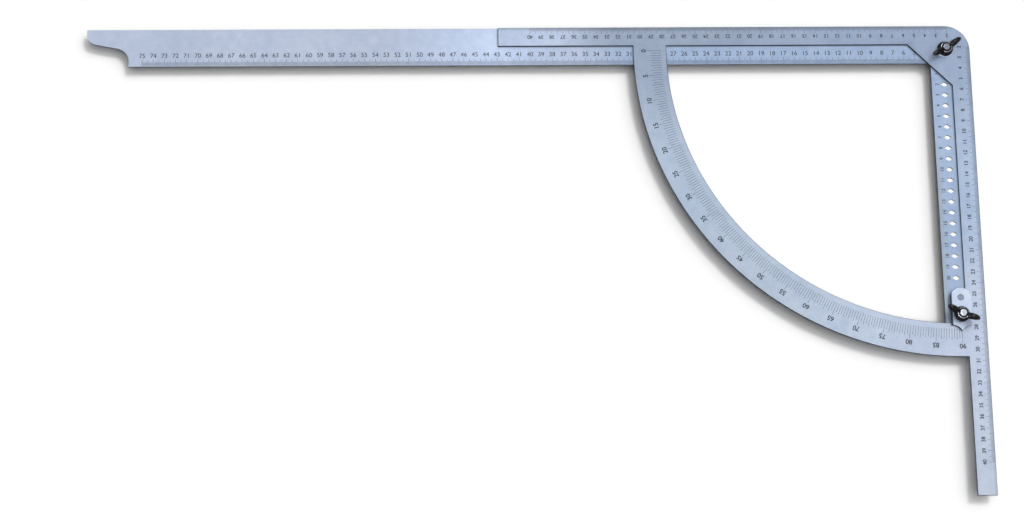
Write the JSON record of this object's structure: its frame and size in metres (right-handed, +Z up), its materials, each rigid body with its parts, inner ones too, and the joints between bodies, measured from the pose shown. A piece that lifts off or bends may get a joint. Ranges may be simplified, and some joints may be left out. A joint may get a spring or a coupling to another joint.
{
  "type": "adjustable set square",
  "caption": "Flat steel carpenter's square with a turning protractor frame, a pointer plate that clamps its degree arc, wing nuts and a row of marking holes.",
  "frame": {"origin": "middle of the footprint at rest, on the underside that lies on the bench", "axes": "+X along the long leg from its shaped tip towards the corner, +Y from the short leg's end towards the corner, +Z up from the bench through the wing nuts"},
  "size_m": [0.8, 0.429, 0.0209],
  "materials": {
    "square_steel": "satin rolled stainless sheet",
    "frame_steel": "satin rolled stainless sheet",
    "pointer_steel": "bright satin stainless sheet",
    "stud_steel": "bright turned steel",
    "washer_steel": "bright zinc",
    "rivet_steel": "dull, ground flush",
    "nut_black": "black chrome on a cast nut",
    "scale_ink": "dark etched and filled marks"
  },
  "bodies": {
    "square": {"main_square": "square_steel", "pivot_stud": "stud_steel", "pointer_plate": "pointer_steel", "pointer_spacer": "washer_steel", "pointer_rivet": "rivet_steel", "clamp_stud": "stud_steel"},
    "frame": {"protractor_frame": "frame_steel"},
    "pivot_washer": {"pivot_washer": "washer_steel"},
    "pivot_nut": {"pivot_wing_nut": "nut_black"},
    "clamp_washer": {"clamp_washer": "washer_steel"},
    "clamp_nut": {"clamp_wing_nut": "nut_black"}
  },
  "joints": [
    {"name": "frame_turn", "type": "hinge", "parent": "square", "child": "frame", "pos_m": [0.3775, 0.192, 0.003], "axis": [0, 0, 1], "range_deg": [0, 90]},
    {"name": "pivot_nut_lift", "type": "slide", "parent": "square", "child": "pivot_washer", "axis": [0, 0, 1], "range_m": [0, 0.002]},
    {"name": "pivot_nut_turn", "type": "hinge", "parent": "pivot_washer", "child": "pivot_nut", "pos_m": [0.3775, 0.192, 0.0085], "axis": [0, 0, 1], "range_deg": [0, 720]},
    {"name": "clamp_nut_lift", "type": "slide", "parent": "square", "child": "clamp_washer", "axis": [0, 0, 1], "range_m": [0, 0.002]},
    {"name": "clamp_nut_turn", "type": "hinge", "parent": "clamp_washer", "child": "clamp_nut", "pos_m": [0.3775, -0.0545, 0.0105], "axis": [0, 0, 1], "range_deg": [0, 720]}
  ],
  "couplings": [
    {"joint": "pivot_nut_lift", "follows": "pivot_nut_turn", "m_per_rad": 0.00015915},
    {"joint": "clamp_nut_lift", "follows": "clamp_nut_turn", "m_per_rad": 0.00015915}
  ]
}
